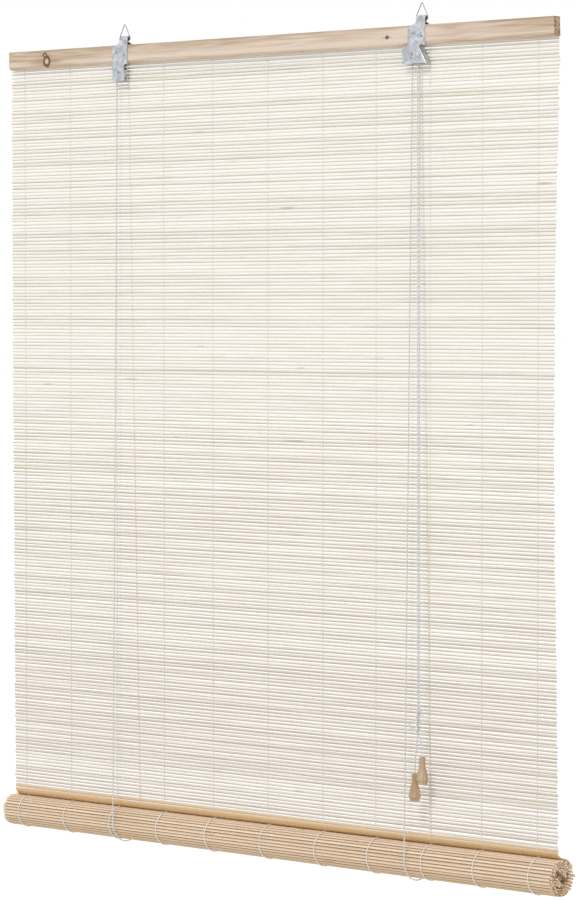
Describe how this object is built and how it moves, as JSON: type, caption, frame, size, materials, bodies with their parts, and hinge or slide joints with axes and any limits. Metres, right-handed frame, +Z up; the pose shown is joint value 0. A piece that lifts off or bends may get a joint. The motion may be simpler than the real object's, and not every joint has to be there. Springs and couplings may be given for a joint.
{
  "type": "bamboo roll-up blind",
  "caption": "Flat pine headrail with sheet steel hanging brackets, a slatted bamboo mat rolled up at its foot, lift cords with a roller cord lock and turned wooden pulls.",
  "frame": {"origin": "on the line of the two wall hooks, inside the apex of the wire rings, at the blind's mid-width", "axes": "+X along the headrail to the right seen from the room, +Y back to the wall or window, +Z up"},
  "size_m": [0.8975, 0.0608, 1.0063],
  "materials": {
    "pine": "bare, satin",
    "bamboo": "bare split bamboo",
    "batten_wood": "bare",
    "turned_wood": "turned, lightly waxed",
    "cotton": "thin warp thread",
    "cord": "twisted cord",
    "galvanised": "galvanised sheet",
    "nail_steel": "bright nail",
    "rivet_steel": "pressed rivet",
    "steel_wire": "drawn wire",
    "pulley_brass": "turned brass",
    "roller_brass": "knurled brass"
  },
  "bodies": {
    "headrail_and_mat": {"headrail": "pine", "mat": "bamboo", "warp_threads": "cotton", "mat_staples": "steel_wire", "left_bracket": "galvanised", "right_bracket": "galvanised", "bracket_nails": "nail_steel", "left_rivet": "rivet_steel", "right_rivet": "rivet_steel", "screw_eyes": "steel_wire", "rear_knots": "cord", "left_front_cord": "cord", "left_rear_cord": "cord", "right_front_cord": "cord", "right_rear_cord": "cord", "cross_cord": "cord", "lock_cord": "cord", "front_pull_cord": "cord", "rear_pull_cord": "cord"},
    "lift_slings": {"left_sling": "cord", "right_sling": "cord"},
    "roll": {"roll_turns": "bamboo", "bottom_batten": "batten_wood"},
    "pulls": {"cord_knot": "cord", "upper_tail": "cord", "lower_tail": "cord", "upper_pull": "turned_wood", "lower_pull": "turned_wood", "pull_end_knots": "cord"},
    "left_pulley": {"left_pulley": "pulley_brass"},
    "right_pulley": {"right_pulley": "pulley_brass"},
    "lock_roller": {"lock_roller": "roller_brass"},
    "left_ring": {"left_ring": "steel_wire"},
    "right_ring": {"right_ring": "steel_wire"}
  },
  "joints": [
    {"name": "lift_slide", "type": "slide", "parent": "headrail_and_mat", "child": "lift_slings", "axis": [0, 0, 1], "range_m": [-0.365, 0.84], "deforming": ["mat", "warp_threads", "left_front_cord", "right_front_cord", "left_rear_cord", "right_rear_cord"]},
    {"name": "roll_turn", "type": "hinge", "parent": "lift_slings", "child": "roll", "pos_m": [0, 0.0146, -0.98047], "axis": [1, 0, 0], "range_deg": [-2170, 945]},
    {"name": "pull_slide", "type": "slide", "parent": "headrail_and_mat", "child": "pulls", "axis": [0, 0, 1], "range_m": [-1.68, 0.73], "deforming": ["front_pull_cord", "rear_pull_cord"]},
    {"name": "left_pulley_turn", "type": "hinge", "parent": "headrail_and_mat", "child": "left_pulley", "pos_m": [-0.243, 0.0004, -0.05667], "axis": [0, 1, 0], "continuous": true},
    {"name": "right_pulley_turn", "type": "hinge", "parent": "headrail_and_mat", "child": "right_pulley", "pos_m": [0.2395, 0.002, -0.05667], "axis": [0, 1, 0], "continuous": true},
    {"name": "lock_roller_slide", "type": "slide", "parent": "headrail_and_mat", "child": "lock_roller", "axis": [0.498, 0, -0.8672], "range_m": [0, 0.0105]},
    {"name": "left_ring_swing", "type": "hinge", "parent": "headrail_and_mat", "child": "left_ring", "pos_m": [-0.2345, 0, -0.01482], "axis": [1, 0, 0], "range_deg": [-55, 55]},
    {"name": "right_ring_swing", "type": "hinge", "parent": "headrail_and_mat", "child": "right_ring", "pos_m": [0.2518, 0, -0.01482], "axis": [1, 0, 0], "range_deg": [-55, 55]}
  ],
  "couplings": [
    {"joint": "roll_turn", "follows": "lift_slide", "rad_per_m": -45},
    {"joint": "pull_slide", "follows": "lift_slide", "ratio": -2}
  ]
}
